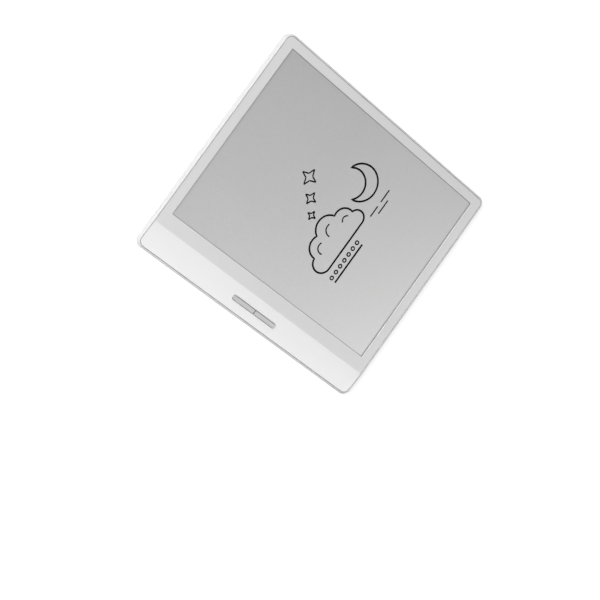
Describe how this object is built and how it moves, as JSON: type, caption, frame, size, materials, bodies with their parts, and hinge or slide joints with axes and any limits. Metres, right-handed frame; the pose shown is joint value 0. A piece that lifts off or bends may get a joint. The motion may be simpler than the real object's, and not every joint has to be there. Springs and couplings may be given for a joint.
{
  "type": "e-reader",
  "caption": "Thin seven inch e-reader: matte screen, wide sloping grip with two page keys, power key on one end, card tray, USB-C port and speaker slots.",
  "frame": {"origin": "middle of the flat back face, on the face", "axes": "+Z out of the screen; +Y along the long side, towards the end with the power key; the grip border is on the -X side"},
  "size_m": [0.137, 0.1564, 0.0065],
  "materials": {
    "shell": "fine moulded satin, very light grey",
    "bezel": "fine moulded satin, very light grey",
    "page_keys": "satin, mid grey",
    "power_key": "smooth, white",
    "light_pipe": "clear pipe over a dark light",
    "screen": "etched film over electronic paper, warm light grey",
    "clear_film": "clear film",
    "panel_glass": "thin display substrate",
    "foam": "black foam",
    "steel_sheet": "thin cold-rolled sheet",
    "screws": "small machine screws",
    "inner_plastic": "moulded black",
    "board": "green lacquered circuit board",
    "chip": "moulded black package",
    "ceramic_parts": "small ceramic parts",
    "flex": "amber flexible circuit",
    "connector": "cream moulded connector",
    "gold": "gold plate",
    "lamp": "small lamps with yellow lenses",
    "cell": "foil pouch",
    "tape": "pull tape",
    "magnet": "nickel plate",
    "mesh": "black woven screen"
  },
  "bodies": {
    "case": {"rear_shell": "shell", "front_bezel": "bezel", "page_switches": "steel_sheet", "power_switch": "connector", "socket_base": "inner_plastic", "socket_cage": "steel_sheet", "card_contacts": "gold", "eject_pivot": "steel_sheet", "usb_shell": "steel_sheet", "usb_tongue": "inner_plastic", "usb_contacts": "gold", "speaker": "inner_plastic", "speaker_seal": "foam", "speaker_mesh": "mesh", "microphone": "steel_sheet", "microphone_seal": "foam", "screen_gasket": "foam", "touch_film": "screen", "touch_flex": "flex", "touch_connector": "connector", "light_guide": "clear_film", "light_leds": "lamp", "light_flex": "flex", "light_connector": "connector", "epaper_film": "screen", "display_backplane": "panel_glass", "display_driver": "chip", "display_flex": "flex", "display_connector": "connector", "support_plate": "steel_sheet", "mid_frame": "inner_plastic", "frame_screws": "screws", "main_board": "board", "board_screws": "screws", "processor_shield": "steel_sheet", "power_shield": "steel_sheet", "processor_chip": "chip", "memory_chip": "chip", "power_chip": "chip", "passives": "ceramic_parts", "hall_sensor": "chip", "battery_cell": "cell", "battery_tape": "tape", "battery_circuit": "board", "battery_lead": "flex", "battery_connector": "connector", "wifi_antenna": "flex", "antenna_spring": "gold", "cover_magnets": "magnet"},
    "page_back": {"page_back_key": "page_keys"},
    "page_forward": {"page_forward_key": "page_keys"},
    "power": {"power_key": "power_key", "status_light": "light_pipe"},
    "tray": {"card_tray": "shell"},
    "plunger": {"eject_plunger": "steel_sheet"},
    "lever": {"eject_lever": "steel_sheet"}
  },
  "joints": [
    {"name": "page_back_press", "type": "slide", "parent": "case", "child": "page_back", "axis": [0.0636, 0, -0.998], "range_m": [0, 0.00035], "stiffness_N_per_m": 4000, "springref_m": -0.0001},
    {"name": "page_forward_press", "type": "slide", "parent": "case", "child": "page_forward", "axis": [0.0636, 0, -0.998], "range_m": [0, 0.00035], "stiffness_N_per_m": 4000, "springref_m": -0.0001},
    {"name": "power_press", "type": "slide", "parent": "case", "child": "power", "axis": [0, -1, 0], "range_m": [0, 0.0003], "stiffness_N_per_m": 4000, "springref_m": -0.0001},
    {"name": "card_tray_slide", "type": "slide", "parent": "case", "child": "tray", "axis": [-1, 0, 0], "range_m": [0, 0.015]},
    {"name": "eject_push", "type": "slide", "parent": "case", "child": "plunger", "axis": [1, 0, 0], "range_m": [0, 0.0012]},
    {"name": "eject_lever_turn", "type": "hinge", "parent": "case", "child": "lever", "pos_m": [-0.05015, -0.043, 0.00275], "axis": [0, 0, -1], "range_deg": [0, 19.2]}
  ],
  "couplings": [
    {"joint": "eject_lever_turn", "follows": "eject_push", "rad_per_m": 277.78}
  ]
}
